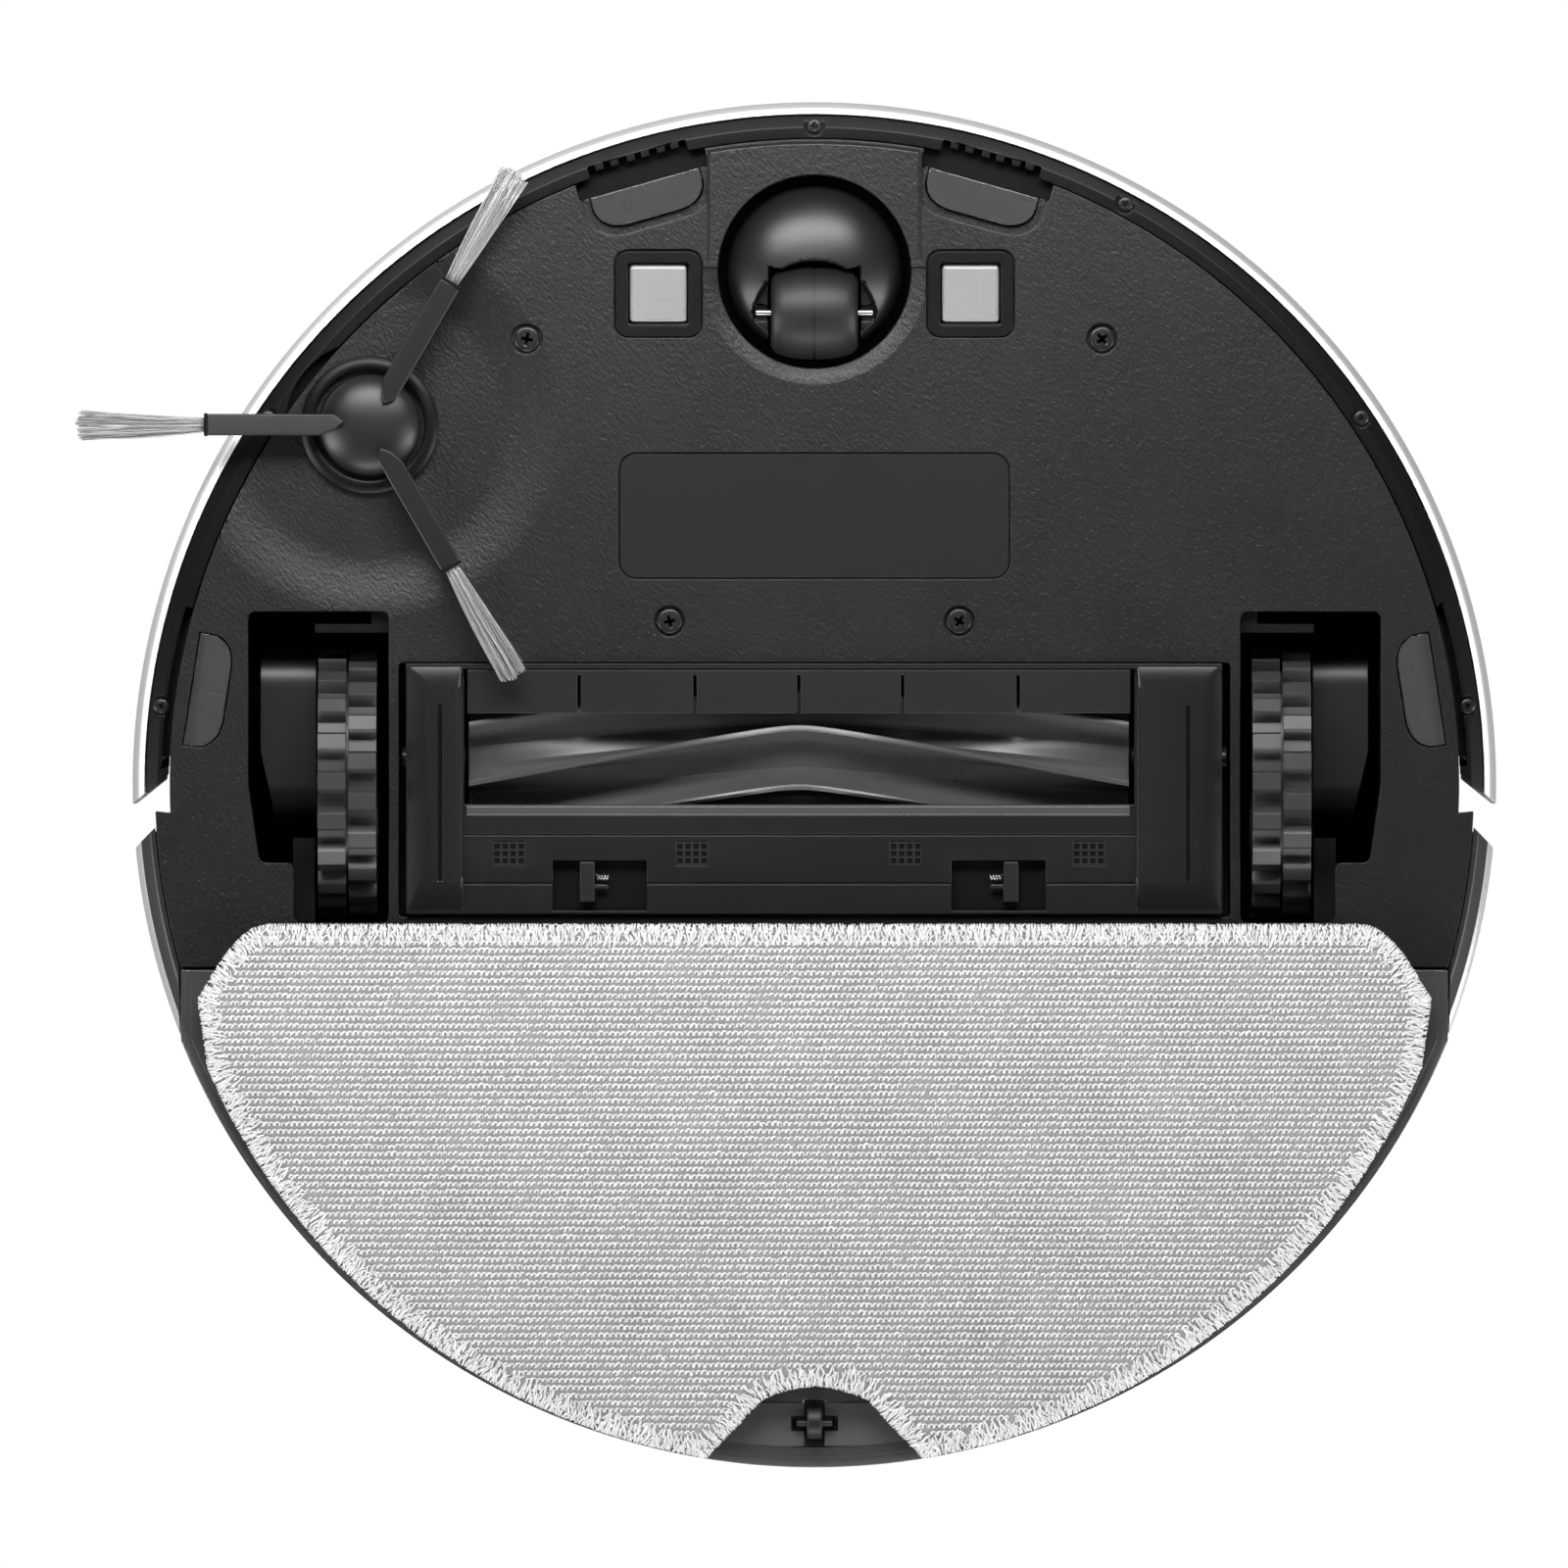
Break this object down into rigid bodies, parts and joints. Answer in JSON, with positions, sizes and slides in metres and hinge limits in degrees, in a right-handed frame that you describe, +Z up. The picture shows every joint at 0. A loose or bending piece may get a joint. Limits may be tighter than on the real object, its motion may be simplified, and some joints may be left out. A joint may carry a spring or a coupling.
{
  "type": "robot vacuum",
  "caption": "Round robot vacuum and mop with bumper, sprung drive wheels, castor, main and side brushes, slide-out mop tank, laser turret and dustbin lid.",
  "frame": {"origin": "on the floor, under the centre of the round body", "axes": "+Z up with the robot standing on its wheels, +Y forward to the bumper, +X to the robot's right"},
  "size_m": [0.364, 0.35, 0.0975],
  "materials": {
    "grained_black": "fine leather grain, satin",
    "smooth_black": "smooth satin",
    "deck_white": "smooth satin white",
    "shell_white": "smooth gloss white",
    "skirt_grey": "smooth satin dark grey",
    "inner_grey": "plain moulded",
    "turret_black": "gloss black",
    "battery_wrap": "shrink wrap",
    "circuit_board": "solder mask",
    "motor_can": "plated steel",
    "smoke_clear": "smoky translucent",
    "screw_black": "black oxide",
    "contact_metal": "satin nickel",
    "pin_steel": "ground steel",
    "gearbox_grey": "semi-gloss dark grey",
    "tyre_rubber": "matte rubber",
    "castor_black": "satin black",
    "castor_rubber": "smooth rubber",
    "brush_rubber": "semi-gloss rubber",
    "arm_rubber": "matte rubber",
    "bristle": "silver-grey nylon",
    "mop_back": "moulded",
    "mop_cloth": "knitted terry microfibre"
  },
  "bodies": {
    "chassis": {"base_plate": "grained_black", "chassis_tray": "smooth_black", "top_cover": "deck_white", "rear_shell": "shell_white", "rear_skirt_right": "skirt_grey", "rear_skirt_left": "skirt_grey", "label_plate": "smooth_black", "brush_housing": "inner_grey", "battery_pack": "battery_wrap", "main_board": "circuit_board", "brush_motor": "motor_can", "side_brush_motor": "motor_can", "dustbin": "smoke_clear", "fan_housing": "inner_grey", "cliff_lens_front_right": "smoke_clear", "cliff_lens_front_left": "smoke_clear", "cliff_lens_side_right": "smoke_clear", "cliff_lens_side_left": "smoke_clear", "base_screw_1": "screw_black", "base_screw_2": "screw_black", "base_screw_3": "screw_black", "base_screw_4": "screw_black", "wheel_housing_right": "smooth_black", "wheel_housing_left": "smooth_black", "charge_contact_right": "contact_metal", "charge_contact_left": "contact_metal", "lidar_base": "inner_grey", "lidar_shroud": "turret_black"},
    "bumper": {"bumper_skin": "shell_white", "bumper_liner": "smooth_black"},
    "arm_right": {"wheel_arm_right": "gearbox_grey", "drive_motor_right": "motor_can"},
    "wheel_right": {"wheel_hub_right": "gearbox_grey", "tyre_right": "tyre_rubber"},
    "arm_left": {"wheel_arm_left": "gearbox_grey", "drive_motor_left": "motor_can"},
    "wheel_left": {"wheel_hub_left": "gearbox_grey", "tyre_left": "tyre_rubber"},
    "castor": {"castor_dome": "castor_black", "castor_axle": "pin_steel"},
    "castor_barrel": {"castor_wheel": "castor_rubber"},
    "main_brush": {"brush_core": "brush_rubber", "brush_fins": "brush_rubber"},
    "guard": {"brush_guard": "smooth_black", "guard_flaps": "brush_rubber"},
    "latch_right": {"guard_latch_right": "smooth_black"},
    "latch_left": {"guard_latch_left": "smooth_black"},
    "side_brush": {"side_brush_hub": "arm_rubber", "side_brush_tuft_1": "bristle", "side_brush_tuft_2": "bristle", "side_brush_tuft_3": "bristle"},
    "mop_module": {"water_tank": "smoke_clear", "mop_holder": "mop_back", "mop_pad": "mop_cloth"},
    "rear_wheel": {"rear_roller": "brush_rubber"},
    "lidar": {"lidar_rotor": "turret_black"},
    "fan": {"fan_impeller": "inner_grey"},
    "power_key": {"power_button": "deck_white"},
    "home_key": {"home_button": "deck_white"},
    "lid": {"top_lid": "deck_white"}
  },
  "joints": [
    {"name": "bumper_press", "type": "slide", "parent": "chassis", "child": "bumper", "axis": [0, -1, 0], "range_m": [0, 0.004], "stiffness_N_per_m": 500, "springref_m": -0.004},
    {"name": "suspension_right", "type": "hinge", "parent": "chassis", "child": "arm_right", "pos_m": [0.135, 0.024, 0.038], "axis": [1, 0, 0], "range_deg": [0, 25], "stiffness_Nm_per_rad": 0.2, "springref_deg": 40.11},
    {"name": "wheel_spin_right", "type": "hinge", "parent": "arm_right", "child": "wheel_right", "pos_m": [0.1197, 0, 0.035], "axis": [1, 0, 0], "continuous": true},
    {"name": "suspension_left", "type": "hinge", "parent": "chassis", "child": "arm_left", "pos_m": [-0.135, 0.024, 0.038], "axis": [1, 0, 0], "range_deg": [0, 25], "stiffness_Nm_per_rad": 0.2, "springref_deg": 40.11},
    {"name": "wheel_spin_left", "type": "hinge", "parent": "arm_left", "child": "wheel_left", "pos_m": [-0.1197, 0, 0.035], "axis": [1, 0, 0], "continuous": true},
    {"name": "castor_swivel", "type": "hinge", "parent": "chassis", "child": "castor", "pos_m": [0, 0.1313, 0.02], "axis": [0, 0, 1], "continuous": true},
    {"name": "castor_roll", "type": "hinge", "parent": "castor", "child": "castor_barrel", "pos_m": [0, 0.1208, 0.012], "axis": [1, 0, 0], "continuous": true},
    {"name": "brush_spin", "type": "hinge", "parent": "chassis", "child": "main_brush", "pos_m": [0.004, 0.0065, 0.0255], "axis": [1, 0, 0], "continuous": true},
    {"name": "guard_swing", "type": "hinge", "parent": "chassis", "child": "guard", "pos_m": [0, 0.0308, 0.0084], "axis": [1, 0, 0], "range_deg": [0, 75]},
    {"name": "latch_press_right", "type": "slide", "parent": "guard", "child": "latch_right", "axis": [-1, 0, 0], "range_m": [0, 0.003], "stiffness_N_per_m": 150, "springref_m": -0.002},
    {"name": "latch_press_left", "type": "slide", "parent": "guard", "child": "latch_left", "axis": [1, 0, 0], "range_m": [0, 0.003], "stiffness_N_per_m": 150, "springref_m": -0.002},
    {"name": "side_brush_spin", "type": "hinge", "parent": "chassis", "child": "side_brush", "pos_m": [0.11401, 0.092, 0.01], "axis": [0, 0, 1], "continuous": true, "deforming": ["side_brush_tuft_1", "side_brush_tuft_2", "side_brush_tuft_3"]},
    {"name": "mop_slide", "type": "slide", "parent": "chassis", "child": "mop_module", "axis": [0, -1, 0], "range_m": [0, 0.07]},
    {"name": "rear_wheel_roll", "type": "hinge", "parent": "mop_module", "child": "rear_wheel", "pos_m": [0, -0.1637, 0.0045], "axis": [1, 0, 0], "continuous": true},
    {"name": "lidar_spin", "type": "hinge", "parent": "chassis", "child": "lidar", "pos_m": [0, 0.01, 0.085], "axis": [0, 0, 1], "continuous": true},
    {"name": "fan_spin", "type": "hinge", "parent": "chassis", "child": "fan", "pos_m": [-0.104, -0.076, 0.04], "axis": [0, 0, 1], "continuous": true},
    {"name": "power_press", "type": "slide", "parent": "chassis", "child": "power_key", "axis": [0, 0, -1], "range_m": [0, 0.001], "stiffness_N_per_m": 400, "springref_m": -0.001},
    {"name": "home_press", "type": "slide", "parent": "chassis", "child": "home_key", "axis": [0, 0, -1], "range_m": [0, 0.001], "stiffness_N_per_m": 400, "springref_m": -0.001},
    {"name": "lid_open", "type": "hinge", "parent": "chassis", "child": "lid", "pos_m": [0, -0.0408, 0.0787], "axis": [-1, 0, 0], "range_deg": [0, 95]}
  ]
}
